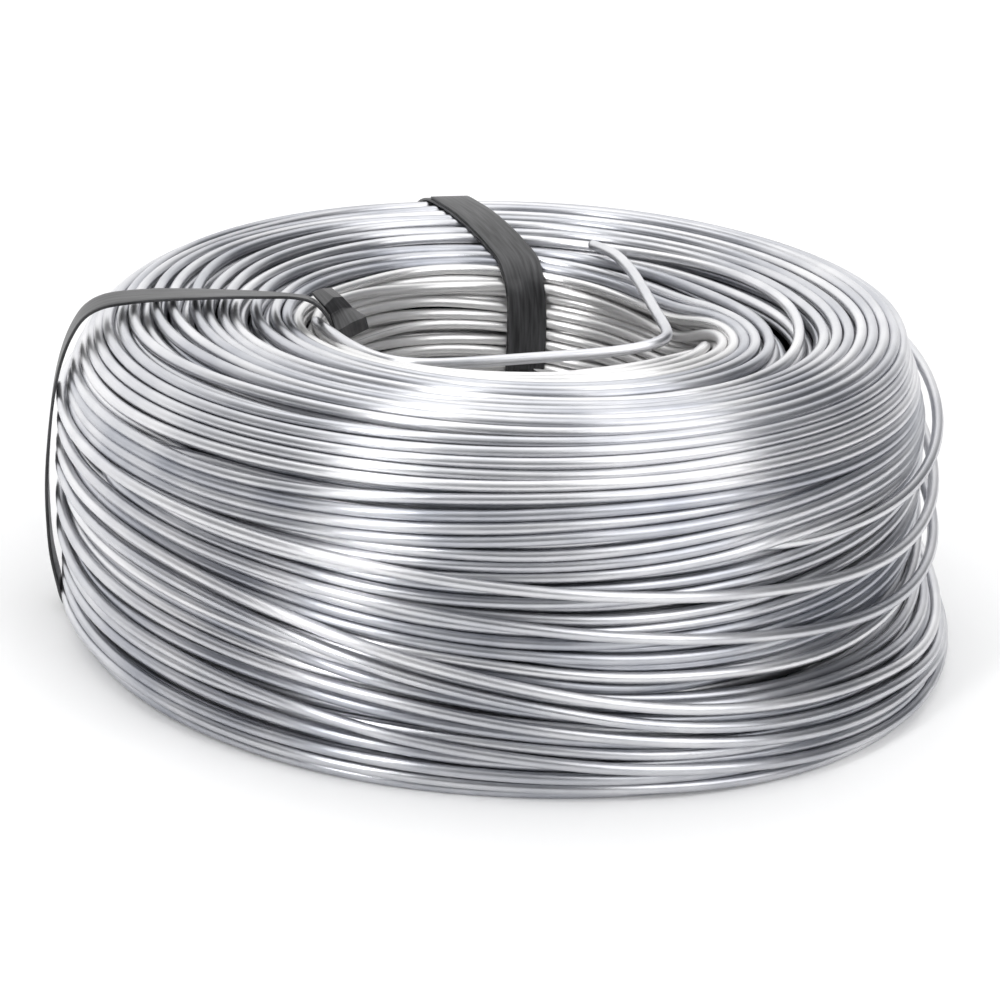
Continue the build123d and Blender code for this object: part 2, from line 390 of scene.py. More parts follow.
right_loops = (
    ((0, 128.5, 79), (9, 125.5, 82), (18, 124.3, 83.5), (45, 129, 83.5), (95, 132.3, 83),
     (150, 129.5, 83), (200, 128.5, 82), (250, 128.5, 77), (290, 132, 70), (320, 133, 66),
     (335, 132, 67), (348, 130.5, 72)),
    ((0, 129, 59), (9, 126.5, 64), (18, 126.8, 68), (45, 131.6, 74), (95, 134.8, 74), (150, 134, 70),
     (200, 135, 69), (250, 136, 66), (290, 135, 58), (320, 134, 51), (335, 132, 50), (348, 131, 53)),
    ((0, 130.5, 42), (9, 127.5, 48), (18, 127.2, 53), (45, 132, 61), (95, 135.2, 62), (150, 135, 62),
     (200, 135, 62), (250, 136, 57), (290, 136, 46), (320, 135, 37), (335, 133, 35), (348, 132.5, 37)),
)


def loose_turn(route):
    """Centre line of a loose turn, as radius and height at every station."""
    at, outer_radius, height = np.array(route, dtype=float).T
    return np.stack([around(at, outer_radius - 0.5 * WIRE), around(at, height)], axis=-1)


loose = np.stack([loose_turn(route) for route in front_sweeps + front_fillers + left_fillers + right_loops])
laid = np.concatenate([laid, loose])
section_run = np.concatenate([section_run, np.full(len(loose), -1.0)])
row_of = np.concatenate([row_of, np.full(len(loose), -1)])
print("loose turns:", len(loose))

# %% [markdown]
# ## Letting the turns settle
# Laid like this, turns run through each other. A cloth or rigid body simulation could pack them, but
# slowly. At every station round the coil the turns are discs of one size, so here they are pushed
# apart where they overlap, held inside the outline, drawn a little back to where they were laid, and
# straightened along their length, over and over. It leaves the uneven gaps of real packing.

# %% Push turns apart
TINY = 1e-6


def close_pairs(points, reach):
    """Turns that are near each other, station by station."""
    found = []
    for j in range(STATIONS):
        gap = points[:, None, j] - points[None, :, j]
        a, b = np.nonzero(np.triu((gap**2).sum(-1) < reach**2, 1))
        found.append(np.stack([a, b, np.full(len(a), j)]))
    return np.concatenate(found, axis=1)


def push_apart(points, pairs, strength):
    """Moves the two turns of each overlapping pair away from each other."""
    a, b, j = pairs
    gap = points[a, j] - points[b, j]
    far = np.maximum(np.linalg.norm(gap, axis=1), TINY)
    move = (0.5 * strength * np.clip(WIRE - far, 0.0, None) / far)[:, None] * gap
    total = points.shape[0] * STATIONS
    for k in (0, 1):
        shift = (np.bincount(a * STATIONS + j, move[:, k], total)
                 - np.bincount(b * STATIONS + j, move[:, k], total))
        points[..., k] += shift.reshape(points.shape[:2])


print("overlaps before settling:", close_pairs(laid, WIRE).shape[1])

# %% Hold turns in place
GIVE, LOOSE_GIVE = 0.3, 5.0
STIFFNESS = 0.25
BUNDLE_HEIGHTS = (14.0, 48.0)
bundle_side = 1.0 * bump(centre=318, width=30) + 1.5 * bump(centre=255, width=30)
over_bands = 1.1 * np.clip(bump(centre=187, width=4) + bump(centre=94, width=7), 0.0, 1.0)
under_band = np.clip(1.4 * bump(centre=102, width=11), 0.0, 1.0)
is_loose = (row_of < 0)[:, None]


def hold_inside(points):
    """Keeps the turns inside the outline, and loose ones within some give outside it."""
    radius, height = points[..., 0], points[..., 1]
    lifted = smooth_step(height, *BUNDLE_HEIGHTS)
    give = np.where(is_loose, (LOOSE_GIVE + flare(height)) * (1.0 - under_band),
                    GIVE - GIVE * under_band + bundle_side * (1.0 - lifted) - pinch(height))
    out_r, out_z = np.maximum(radius - CREST, 0.0), np.maximum(height - (HEIGHT - SHOULDER), 0.0)
    reach = np.maximum(np.hypot(out_r, out_z), TINY)
    over = np.clip(reach - (SHOULDER - 0.5 * WIRE + give), 0.0, None) / reach * (radius > CREST)
    radius -= over * out_r
    height -= over * out_z
    crown_limit = np.where(radius < CREST, crown_height(radius) - 0.5 * WIRE + GIVE, np.inf)
    np.minimum(height, crown_limit, out=height)
    np.maximum(radius, BORE + 0.5 * WIRE, out=radius)
    np.maximum(height, 0.5 * WIRE + over_bands, out=height)


def straighten(points):
    """Draws each point of a turn towards the middle of its two neighbours."""
    points += STIFFNESS * (np.roll(points, 1, axis=1) + np.roll(points, -1, axis=1) - 2.0 * points)


print("settling: loose turns may stand out by", LOOSE_GIVE, "mm, the others by", GIVE)

# %% Settle the turns
SWEEPS, LAST_SWEEPS, LIST_EVERY = 140, 12, 10
PUSH, LAST_PUSH = 0.9, 0.5
LOOSE_PULL, FRONT_PULL, DEEP_PULL = 0.10, 0.035, 0.015
pull = np.where(row_of < 0, LOOSE_PULL, np.where(row_of == 0, FRONT_PULL, DEEP_PULL))[:, None, None]
settled = laid.copy()
for sweep in range(SWEEPS):
    if sweep % LIST_EVERY == 0:
        pairs = close_pairs(settled, 1.5 * WIRE)
    push_apart(settled, pairs, PUSH)
    hold_inside(settled)
    settled += pull * (laid - settled)
    straighten(settled)
    straighten(settled)
for _ in range(LAST_SWEEPS):
    push_apart(settled, pairs, LAST_PUSH)
    hold_inside(settled)
    straighten(settled)
lift_rim(settled)
a, b, j = close_pairs(settled, WIRE)
depth = WIRE - np.linalg.norm(settled[a, j] - settled[b, j], axis=1)
print("overlaps left:", len(depth), "mean", depth.mean().round(2), "deepest", depth.max().round(2))

# %% [markdown]
# ## From lines to wire
# Every turn becomes a closed tube. A curve with a bevel could give that, one object for each turn.
# Here the rings of all the turns of one zone are joined in one mesh, written from arrays, which is
# quick enough for some two hundred thousand faces. A ring stands square to its line, and a row of
# faces joins each ring to the next.

# %% Rings and faces of a tube
SIDES = 8


def ring_directions(tracks, closed):
    """Directions outward and upward, square to each line at each of its points."""
    if closed:
        along = np.roll(tracks, -1, axis=1) - np.roll(tracks, 1, axis=1)
    else:
        along = np.gradient(tracks, axis=1)
    along /= np.linalg.norm(along, axis=-1, keepdims=True)
    outward = tracks * (1.0, 1.0, 0.0)
    outward -= (outward * along).sum(-1, keepdims=True) * along
    outward /= np.linalg.norm(outward, axis=-1, keepdims=True)
    return outward, np.cross(along, outward)


def tube_faces(index, closed):
    """Corners of the faces between the rings, and where each face starts; an open tube gets caps."""
    ahead = np.roll(index, -1, axis=1)
    quads = np.stack([index, np.roll(index, -1, axis=2), np.roll(ahead, -1, axis=2), ahead], axis=-1)
    if closed:
        return quads.ravel(), np.arange(0, quads.size, 4)
    quads = quads[:, :-1].ravel()
    corners = np.concatenate([quads, index[0, 0, ::-1], index[0, -1]])
    return corners, np.concatenate([np.arange(0, quads.size, 4), quads.size + SIDES * np.arange(2)])


print("each tube has", SIDES, "sides")

# %% [markdown]
# Three values ride along in the mesh for the finish: a tone for each turn, the place round the wire,
# and the direction round the wire. Without them a finish couldn't tell one turn from the next.

# %% Mesh of tubes
DRAW_SPREAD = 50
wire_radius = 0.0005 * WIRE


def note_on_points(mesh, name, kind, field, values):
    """Stores a value or a direction at every point of a mesh, for its finish."""
    mesh.attributes.new(name, kind, "POINT").data.foreach_set(field, values.astype(np.float32).ravel())


def wire_mesh(name, tracks, closed=True):
    """One mesh of tubes along these lines, which are in metres."""
    count, length = tracks.shape[:2]
    outward, upward = (way[:, :, None] for way in ring_directions(tracks, closed))
    turn = 2 * math.pi * np.arange(SIDES) / SIDES
    cosine, sine = np.cos(turn)[:, None], np.sin(turn)[:, None]
    points = tracks[:, :, None] + wire_radius * (cosine * outward + sine * upward)
    index = np.arange(count * length * SIDES).reshape(count, length, SIDES)
    corners, starts = tube_faces(index, closed)
    caps = 0 if closed else 2
    mesh = bpy.data.meshes.new(name)
    mesh.vertices.add(index.size)
    mesh.vertices.foreach_set("co", points.astype(np.float32).ravel())
    mesh.loops.add(len(corners))
    mesh.loops.foreach_set("vertex_index", corners.astype(np.int32))
    mesh.polygons.add(len(starts))
    mesh.polygons.foreach_set("loop_start", starts.astype(np.int32))
    mesh.polygons.foreach_set("use_smooth", np.arange(len(starts)) < len(starts) - caps)
    tones = np.repeat(chance.uniform(0, 1, count), length * SIDES)
    note_on_points(mesh, "turn_tone", "FLOAT", "value", tones)
    place = np.zeros((count, length, SIDES, 3))
    place[..., 0] = np.cos(turn)
    place[..., 1] = np.sin(turn)
    place[..., 2] = chance.uniform(0, DRAW_SPREAD, count)[:, None, None]
    note_on_points(mesh, "drawn", "FLOAT_VECTOR", "vector", place)
    note_on_points(mesh, "round_wire", "FLOAT_VECTOR", "vector", cosine * upward - sine * outward)
    mesh.update()
    mesh.validate()
    return mesh


print("wire is", WIRE, "mm thick")

# %% Build the turns
WALL_TOP, BORE_RIM = 70.0, CROWN_END - 13.0
zones = {
    "wall_turns": (0.0, WALL_TOP),
    "shoulder_turns": (WALL_TOP, SHOULDER_END),
    "crown_turns": (SHOULDER_END, BORE_RIM),
    "bore_turns": (BORE_RIM, BORE_FOOT),
    "under_turns": (BORE_FOOT, math.inf),
}


def to_metres(track):
    """Radius and height in millimetres at each station, as points in metres."""
    radius, height = track[..., 0], track[..., 1]
    return 0.001 * np.stack([radius * np.cos(angles), radius * np.sin(angles), height], axis=-1)


turn_pieces = []
for name, (low, high) in zones.items():
    chosen = (section_run >= low) & (section_run < high)
    turn_pieces.append(bpy.data.objects.new(name, wire_mesh(name, to_metres(settled[chosen]))))
loose_mesh = wire_mesh("loose_turns", to_metres(settled[row_of < 0]))
turn_pieces.append(bpy.data.objects.new("loose_turns", loose_mesh))
for piece in turn_pieces:
    bpy.context.scene.collection.objects.link(piece)
    print(piece.name, "triangles", 2 * len(piece.data.polygons))

# %% [markdown]
# ## The hidden core
# Behind the three rows lies more wire, which nobody sees. Hundreds of further turns would only cost
# time, so a plain turned core fills that space and no light comes through the gaps. It is a rectangle
# beside the axis, with bevelled corners, spun round once.

# %% Core
CORE_WIDTH, CORE_HEIGHT, CORE_BEVEL = 0.046, 0.066, 0.012
CORE_RADIUS, CORE_MIDDLE, CORE_STEPS = 0.091, 0.044, 72
MERGE_GAP = 0.00005
AXIS_FOOT = (0.0, 0.0, 0.0)
bpy.ops.object.select_all(action="DESELECT")
bpy.ops.mesh.primitive_plane_add(size=1.0, location=AXIS_FOOT)
core = bpy.context.object
core.name = "coil_core"
bpy.ops.object.mode_set(mode="EDIT")
bpy.ops.transform.rotate(value=math.pi / 2, orient_axis="X", center_override=AXIS_FOOT)
bpy.ops.transform.resize(value=(CORE_WIDTH, 1.0, CORE_HEIGHT), center_override=AXIS_FOOT)
bpy.ops.transform.translate(value=(CORE_RADIUS, 0.0, CORE_MIDDLE))
bpy.ops.mesh.bevel(offset=CORE_BEVEL, segments=3, affect="VERTICES")
bpy.ops.mesh.delete(type="ONLY_FACE")
bpy.ops.mesh.select_all(action="SELECT")
bpy.ops.mesh.spin(steps=CORE_STEPS, angle=2 * math.pi, center=AXIS_FOOT, axis=(0.0, 0.0, 1.0))
bpy.ops.mesh.remove_doubles(threshold=MERGE_GAP)
bpy.ops.mesh.normals_make_consistent(inside=False)
bpy.ops.object.mode_set(mode="OBJECT")
bpy.ops.object.shade_smooth()
print("core", [round(v, 3) for v in core.dimensions], "faces", len(core.data.polygons))

# %% [markdown]
# ## The loose end
# The last turn leaves the coil at the left, hangs along the front rim of the bore, is kinked sharply
# at the right and crosses to the back, where its tip is hooked over the turns. A curve with a round
# bevel could give it. Here a smooth curve through a few points, in millimetres, gives only its line, and
# the same tube as the turns is laid along it, closed at both ends, so that it takes the same finish.

# %% Loose end
end_points = np.array([
    (-58.6, -9.0, 91.6), (-57.4, -15.0, 92.8), (-54.5, -21.5, 93.2), (-47.6, -33.5, 93.0),
    (-38.5, -43.5, 92.6), (-27.0, -47.5, 92.6), (-9.6, -45.2, 93.5), (8.0, -41.2, 94.4),
    (23.0, -37.8, 95.0), (35.0, -34.4, 96.0), (41.6, -30.6, 96.8), (45.0, -26.0, 97.4),
    (44.6, -19.0, 97.8), (42.0, -5.0, 98.2), (39.0, 15.0, 98.6), (36.0, 34.0, 98.6),
    (32.4, 50.0, 98.2), (29.4, 57.2, 97.9), (26.6, 62.6, 97.4), (24.2, 67.4, 96.8),
])
end_curve = bpy.data.curves.new("end_line", "CURVE")
end_curve.dimensions = "3D"
spline = end_curve.splines.new("NURBS")
spline.points.add(len(end_points) - 1)
for point, place in zip(spline.points, end_points):
    point.co = (*(0.001 * place), 1.0)
spline.order_u = 3
spline.use_endpoint_u = True
spline.resolution_u = 8
end_line = bpy.data.objects.new("end_line", end_curve)
end_mesh = bpy.data.meshes.new_from_object(end_line)
track = np.zeros(len(end_mesh.vertices) * 3)
end_mesh.vertices.foreach_get("co", track)
bpy.data.objects.remove(end_line)
loose_end = bpy.data.objects.new("loose_end", wire_mesh("loose_end", track.reshape(1, -1, 3), closed=False))
bpy.context.scene.collection.objects.link(loose_end)
print("loose end", len(loose_end.data.polygons), "faces")

# %% [markdown]
# ## The bands
# Each band is a loop of flat plastic strapping pulled tight round the section. It could be a curve
# with a flat bevel, but such a strip would cut through the turns. So a grid of faces is laid along a
# closed route and moved out wherever it would sink into the coil. First come the line of the route
# and the way off the coil.

# %% Route of a band
LINE_SHARES, POINT_GAP, FLOOR_ZONE = 24, 1.6, 4.0
outline_ahead = np.roll(outline, -1, axis=0) - np.roll(outline, 1, axis=0)
outline_out = np.stack([outline_ahead[:, 1], -outline_ahead[:, 0]], axis=1)
outline_out /= np.linalg.norm(outline_out, axis=1, keepdims=True)


def smooth_line(places, closed):
    """A smooth line through these places, with points a set gap apart."""
    places = np.asarray(places, dtype=float)
    if not closed:
        places = np.concatenate([2 * places[:1] - places[1:2], places, 2 * places[-1:] - places[-2:-1]])
    before, after = np.roll(places, 1, axis=0), np.roll(places, -1, axis=0)
    slope = 0.5 * (after - before)
    share = np.linspace(0.0, 1.0, LINE_SHARES, endpoint=False)[:, None, None]
    line = ((2 * share**3 - 3 * share**2 + 1) * places + (share**3 - 2 * share**2 + share) * slope
            + (-2 * share**3 + 3 * share**2) * after + (share**3 - share**2) * np.roll(slope, -1, axis=0))
    line = line.transpose(1, 0, 2)
    line = line.reshape(-1, places.shape[1]) if closed else line[1:-2].reshape(-1, places.shape[1])
    if closed:
        line = np.concatenate([line, line[:1]])
    run = np.concatenate([[0.0], np.cumsum(np.linalg.norm(np.diff(line[:, :2], axis=0), axis=1))])
    even = np.linspace(0.0, run[-1], int(run[-1] / POINT_GAP), endpoint=not closed)
    return np.stack([np.interp(even, run, line[:, k]) for k in range(line.shape[1])], axis=1)


def lift_off(points, clear):
    """Moves points that lie in the coil, or nearly, out to a set distance from its outline."""
    radius = np.hypot(points[:, 0], points[:, 1])
    section = np.stack([radius, points[:, 2]], axis=1)
    nearest = ((section[:, None] - outline[None]) ** 2).sum(-1).argmin(1)
    away = ((section - outline[nearest]) * outline_out[nearest]).sum(1)
    short = np.where(points[:, 2] > FLOOR_ZONE, np.clip(clear - away, 0.0, None), 0.0)
    move = short[:, None] * outline_out[nearest]
    points[:, :2] *= ((radius + move[:, 0]) / radius)[:, None]
    points[:, 2] += move[:, 1]
    return points


print("route of a band has a point every", POINT_GAP, "mm")

# %% [markdown]
# Strapping is thin, and its edges catch the light. A long box could be bent along the route. Here a band
# starts as a sheet: Solidify gives it the thickness of the plastic, and a fine bevel softens its edges.
# How far along and across the strip each point lies is kept for the finish.

# %% Thickness of strapping
BAND_WIDTH, BAND_THICKNESS = 12.7, 0.9


def thicken(piece, bevel_width, bevel_angle, smooth_angle):
    """Gives a sheet the thickness of strapping, softens its edges and shades it."""
    wall = piece.modifiers.new("thickness", "SOLIDIFY")
    wall.thickness = 0.001 * BAND_THICKNESS
    wall.offset = 0.0
    bpy.ops.object.modifier_apply(modifier=wall.name)
    edge = piece.modifiers.new("soft_edges", "BEVEL")
    edge.width = bevel_width
    edge.segments = 2
    edge.limit_method = "ANGLE"
    edge.angle_limit = math.radians(bevel_angle)
    bpy.ops.object.modifier_apply(modifier=edge.name)
    bpy.ops.object.shade_smooth_by_angle(angle=math.radians(smooth_angle))
    print(piece.name, "faces", len(piece.data.polygons))


def note_strip_place(piece, along, across):
    """Stores how far along and across the strip each point lies, for the finish."""
    note = piece.data.attributes.new("strip_place", "FLOAT_VECTOR", "POINT")
    note.data.foreach_set("vector", np.stack([along, across, np.zeros(len(along))], axis=1).ravel())


print("strapping is", BAND_WIDTH, "by", BAND_THICKNESS, "mm")

# %% [markdown]
# The sheet itself starts as a flat grid. Each of its rows is moved to a place on the route and turned
# with it, and the two ends of a closed band are welded together.

# %% Strip along a route
BAND_STRIPS, BAND_BEVEL, WELD_GAP = 6, 0.00025, 0.00001


def band(name, heading, sideways, places, clear, closed=True):
    """A flat band along places given as distance from the axis, height, shift and twist in degrees."""
    line = smooth_line(places, closed)
    ahead = np.array([math.cos(math.radians(heading)), math.sin(math.radians(heading)), 0.0])
    across = np.array([-ahead[1], ahead[0], 0.0])
    rows = len(line)
    route = line[:, :1] * ahead + line[:, 1:2] * (0.0, 0.0, 1.0) + (sideways + line[:, 2:3]) * across
    along = np.roll(route, -1, axis=0) - np.roll(route, 1, axis=0) if closed else np.gradient(route, axis=0)
    along /= np.linalg.norm(along, axis=1, keepdims=True)
    twist = np.radians(line[:, 3:4])
    spread = np.cos(twist) * across + np.sin(twist) * np.cross(along, across)
    bpy.ops.object.select_all(action="DESELECT")
    bpy.ops.mesh.primitive_grid_add(x_subdivisions=BAND_STRIPS, y_subdivisions=rows - 1 + closed, size=2.0)
    piece = bpy.context.object
    piece.name = name
    grid = np.zeros(len(piece.data.vertices) * 3)
    piece.data.vertices.foreach_get("co", grid)
    grid = grid.reshape(-1, 3)
    place_across = 0.5 * BAND_WIDTH * grid[:, 0]
    row = np.rint((grid[:, 1] + 1.0) / 2.0 * (rows - 1 + closed)).astype(int) % rows
    strip = lift_off(route[row] + place_across[:, None] * spread[row], clear)
    piece.data.vertices.foreach_set("co", 0.001 * strip.ravel())
    run = np.concatenate([[0.0], np.cumsum(np.linalg.norm(np.diff(route, axis=0), axis=1))])
    note_strip_place(piece, run[row], place_across)
    piece.data.update()
    bpy.ops.object.mode_set(mode="EDIT")
    bpy.ops.mesh.select_all(action="SELECT")
    bpy.ops.mesh.remove_doubles(threshold=WELD_GAP)
    bpy.ops.mesh.normals_make_consistent(inside=False)
    bpy.ops.object.mode_set(mode="OBJECT")
    thicken(piece, bevel_width=BAND_BEVEL, bevel_angle=50, smooth_angle=40)
    return piece


print("a strip is", BAND_STRIPS, "faces wide")

# %% [markdown]
# The side band is stiff, so it bows out beside the wall and lies flat over the top. The back band lies
# close to the turns and crosses the coil askew. Both run down the bore and back under the coil.

# %% Side band and back band
SIDE_HEADING, BACK_HEADING = 187.0, 106.0
BACK_SHIFT, BACK_LAP_SHIFT = -17.0, -17.3
side_band = band("side_band", SIDE_HEADING, 0.0, (
    (62.0, 0.6, 0, 0), (96.0, 0.6, 0, 0), (126.0, 0.6, 0, 0), (132.2, 1.0, 0, 0), (134.6, 3.6, 0, 0),
    (136.2, 9.6, 0, 0), (138.0, 19.0, 0, 0), (138.8, 30.0, 0, 0), (139.0, 41.0, 0, 0), (138.4, 52.0, 0, 0),
    (137.2, 64.0, 0, 0), (135.8, 73.0, 0, 0), (133.8, 81.0, 0, 0), (131.0, 88.0, 0, 0), (127.2, 93.6, 0, 0),
    (121.6, 96.8, 0, 0), (113.5, 98.2, 0, -1), (105.0, 98.9, 0, -3), (95.0, 99.2, 0, -5), (85.0, 99.3, 0, -8),
    (76.0, 99.2, 0, -10), (66.0, 98.8, 0, -13), (60.0, 97.2, 0, -10), (55.4, 92.0, 0, -4), (53.4, 85.0, 0, 0),
    (53.4, 76.0, 0, 0), (53.6, 64.0, 0, 0), (54.0, 50.0, 0, 0), (54.2, 28.0, 0, 0), (54.2, 8.0, 0, 0),
    (55.6, 2.0, 0, 0),
), clear=-1.3)
back_band = band("back_band", BACK_HEADING, BACK_SHIFT, (
    (56.0, 0.6, 0, 0), (90.0, 0.6, 2, 0), (124.0, 0.6, 5, 0), (130.8, 1.6, 6, 0), (134.2, 6.0, 7, 0),
    (135.3, 16.0, 8, 0), (135.6, 40.0, 9, 0), (135.2, 66.0, 10, 0), (132.8, 80.0, 10.6, 0),
    (127.0, 90.2, 11, 0), (118.0, 96.2, 11, 0), (108.0, 98.2, 10.4, 0), (97.0, 98.4, 8, 0),
    (86.0, 97.8, 5.6, 0), (76.0, 96.4, 3.6, 0), (68.0, 94.9, 2, 0), (60.6, 92.3, 0, 0),
    (55.0, 88.8, -0.6, 0), (52.0, 83.6, -1.4, 0), (51.2, 74.0, -2, 0), (51.2, 50.0, -2, 0),
    (51.2, 26.0, -1.4, 0), (51.4, 6.0, -0.4, 0), (52.6, 1.6, 0, 0),
), clear=-0.9)

# %% [markdown]
# Where each band was pulled tight, its end is lapped. At the back a second layer lies on the first, a
# little to the right of it. At the side the end is crushed into the mouth of the bore: a small sheet
# whose rows of points are moved to the folds one by one, because no modifier gives such a crumple.

# %% Lapped end at the back
back_lap = band("back_lap", BACK_HEADING, BACK_LAP_SHIFT, (
    (108.0, 99.1, 10.4, 0), (101.0, 99.4, 9.0, 0), (92.0, 99.2, 6.8, 0), (82.0, 98.2, 4.8, 0),
    (74.0, 97.0, 3.2, 0), (66.0, 95.1, 1.6, 0), (59.0, 92.3, -0.2, 0), (53.6, 88.6, -0.8, 0),
    (51.0, 83.6, -1.4, 0), (50.2, 72.0, -2, 0), (50.2, 58.0, -2, 0),
), closed=False, clear=0.0)

# %% Crushed end at the side
FOLD_GAP, FOLD_BEVEL = 6.0, 0.0003
crushed = np.array([
    [(-60.5, -3.0, 98.4), (-58.0, 0.5, 98.6), (-55.2, 4.0, 98.0)],
    [(-56.4, -9.0, 96.4), (-54.0, -6.0, 98.2), (-51.4, -3.0, 97.6)],
    [(-54.6, -7.0, 93.2), (-51.6, -3.6, 94.4), (-48.5, 0.5, 93.2)],
    [(-52.5, -12.0, 89.6), (-48.4, -10.4, 92.0), (-44.2, -6.5, 93.0)],
    [(-51.6, -8.0, 85.6), (-47.6, -5.4, 86.8), (-43.4, -2.0, 88.2)],
])
fold_rows, fold_columns = np.indices(crushed.shape[:2]).reshape(2, -1)
bpy.ops.object.select_all(action="DESELECT")
bpy.ops.mesh.primitive_grid_add(x_subdivisions=2, y_subdivisions=4, size=2.0)
side_lap = bpy.context.object
side_lap.name = "side_lap"
side_lap.data.vertices.foreach_set("co", 0.001 * crushed.ravel())
note_strip_place(side_lap, FOLD_GAP * fold_rows, FOLD_GAP * fold_columns)
side_lap.data.update()
thicken(side_lap, bevel_width=FOLD_BEVEL, bevel_angle=25, smooth_angle=20)

# %% [markdown]
# ## Putting the pieces in the frame
# The turns and the core take the place of the CAD coil, the loose end that of the CAD wire end, and
# each band with its lap that of a CAD strap. Nothing on a coil moves, so all of them ride on the root.

# %% Put the pieces in the frame
for piece in turn_pieces + [core]:
    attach(piece, "root")
    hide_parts("wire_coil")
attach(loose_end, "root")
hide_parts("wire_end")
for piece, node in ((side_band, "side_strap"), (side_lap, "side_strap"), (back_band, "back_strap"),
                    (back_lap, "back_strap")):
    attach(piece, "root")
    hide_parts(node)
band_pieces = (side_band, side_lap, back_band, back_lap)
print("pieces in the frame:", len([*turn_pieces, core, loose_end, *band_pieces]))

# %% [markdown]
# ## Helpers for the finishes
# A finish is a graph of nodes, which could be joined up by hand in the shader editor. Here each helper
# adds one node and hands back its output, so that a finish reads like a recipe.

# %% Helpers for the finishes
def new_finish(name):
    """A material with its nodes, its links and its shader."""
    finish = bpy.data.materials.new(name)
    finish.use_nodes = True
    tree = finish.node_tree
    return finish, tree.nodes, tree.links, tree.nodes["Principled BSDF"]


def stored(nodes, name):
    """A node that reads a value stored in the mesh."""
    node = nodes.new("ShaderNodeAttribute")
    node.attribute_name = name
    return node.outputs


def noise(nodes, links, place, scale, detail):
    """Cloudy noise over a place."""
    node = nodes.new("ShaderNodeTexNoise")
    node.inputs["Scale"].default_value = scale
    node.inputs["Detail"].default_value = detail
    links.new(place, node.inputs["Vector"])
    return node.outputs["Fac"]


def two_tones(nodes, links, value, positions, colours):
    """A blend between two colours, driven by a value."""
    ramp = nodes.new("ShaderNodeValToRGB")
    for stop, position, colour in zip(ramp.color_ramp.elements, positions, colours):
        stop.position = position
        stop.color = (*colour, 1.0)
    links.new(value, ramp.inputs["Fac"])
    return ramp.outputs["Color"]


def calculate(nodes, links, operation, *values):
    """A sum or a product of values, some of them sockets of other nodes."""
    node = nodes.new("ShaderNodeMath")
    node.operation = operation
    for socket, value in zip(node.inputs, values):
        if isinstance(value, float):
            socket.default_value = value
        else:
            links.new(value, socket)
    return node.outputs["Value"]


def remap(nodes, links, value, old_range, new_range):
    """A value moved from one range to another."""
    node = nodes.new("ShaderNodeMapRange")
    node.inputs["From Min"].default_value, node.inputs["From Max"].default_value = old_range
    node.inputs["To Min"].default_value, node.inputs["To Max"].default_value = new_range
    links.new(value, node.inputs["Value"])
    return node.outputs["Result"]


print("finishes can use stored values, noise, two tones, sums and ranges")

# %% [markdown]
# ## The finish of the wire
# Galvanised wire is bright and drawn lengthwise. Its grey differs from turn to turn, faint draw lines
# run along it, and the zinc is cloudier in patches, which changes its grey. Draw lines spread a
# highlight round the wire and leave it crisp along it, so the shader is anisotropic and takes its
# direction from the mesh. Plain roughness would blur the highlight both ways.

# %% Wire finish
ANISOTROPY = 0.66
PATCH_SCALE, PATCH_DETAIL, PATCH_SHARE = 38.0, 4.0, 0.75
STREAK_SCALE, STREAK_DETAIL = 3.0, 3.0
TONE_SHARE = 0.4
GREY_STOPS = (0.2, 0.9)
STREAK_RANGE, ROUGHNESS_RANGE = (0.3, 0.75), (0.27, 0.41)


def wire_finish(name, metal, dark, pale):
    """Bright drawn wire between two greys, more or less metallic."""
    finish, nodes, links, shader = new_finish(name)
    shader.inputs["Metallic"].default_value = metal
    shader.inputs["Anisotropic"].default_value = ANISOTROPY
    links.new(stored(nodes, "round_wire")["Vector"], shader.inputs["Tangent"])
    place = nodes.new("ShaderNodeTexCoord").outputs["Object"]
    patches = noise(nodes, links, place, PATCH_SCALE, PATCH_DETAIL)
    clouds = calculate(nodes, links, "MULTIPLY", patches, PATCH_SHARE)
    mixed = calculate(nodes, links, "MULTIPLY_ADD", stored(nodes, "turn_tone")["Fac"], TONE_SHARE, clouds)
    links.new(two_tones(nodes, links, mixed, GREY_STOPS, (dark, pale)), shader.inputs["Base Color"])
    streaks = noise(nodes, links, stored(nodes, "drawn")["Vector"], STREAK_SCALE, STREAK_DETAIL)
    links.new(remap(nodes, links, streaks, STREAK_RANGE, ROUGHNESS_RANGE), shader.inputs["Roughness"])
    print(name, "has", len(nodes), "nodes")
    return finish


bright_wire = wire_finish("bright_wire", 1.0, (0.33, 0.345, 0.39), (0.81, 0.808, 0.82))
# The bore turns take a copy of the wire finish with less metal and paler greys. The paler greys are painted
# light that brightens the bore.
bore_wire_painted_lighter = wire_finish("bore_wire_painted_lighter", 0.8, (0.72, 0.716, 0.715), (0.91, 0.903, 0.90))
for piece in turn_pieces + [loose_end]:
    piece.data.materials.append(bore_wire_painted_lighter if piece.name == "bore_turns" else bright_wire)

# %% [markdown]
# ## The finish of the core
# The wire deep in the coil gets hardly any light, so the core's colour is painted shade: nearly black,
# with faint clouds in place of turns. A bright core would shine through every gap.

# %% Core finish
deep_wire_painted_shade, nodes, links, shader = new_finish("deep_wire_painted_shade")
deep_place = nodes.new("ShaderNodeTexCoord").outputs["Object"]
deep_clouds = noise(nodes, links, deep_place, scale=60.0, detail=2.0)
painted_shade_colour = two_tones(nodes, links, deep_clouds, (0.0, 1.0), ((0.015, 0.016, 0.018), (0.05, 0.052, 0.058)))
links.new(painted_shade_colour, shader.inputs["Base Color"])
shader.inputs["Roughness"].default_value = 0.6
core.data.materials.append(deep_wire_painted_shade)
print("core finish has", len(nodes), "nodes")

# %% [markdown]
# ## The finish of the bands
# The bands are black plastic with a satin face. They are stretched lengthwise, so fine grooves run
# along them, and handling leaves grey scuffs. Both follow the strip, whose own place along and across
# is stored in the mesh, because a pattern in plain space would cut straight through the bends.

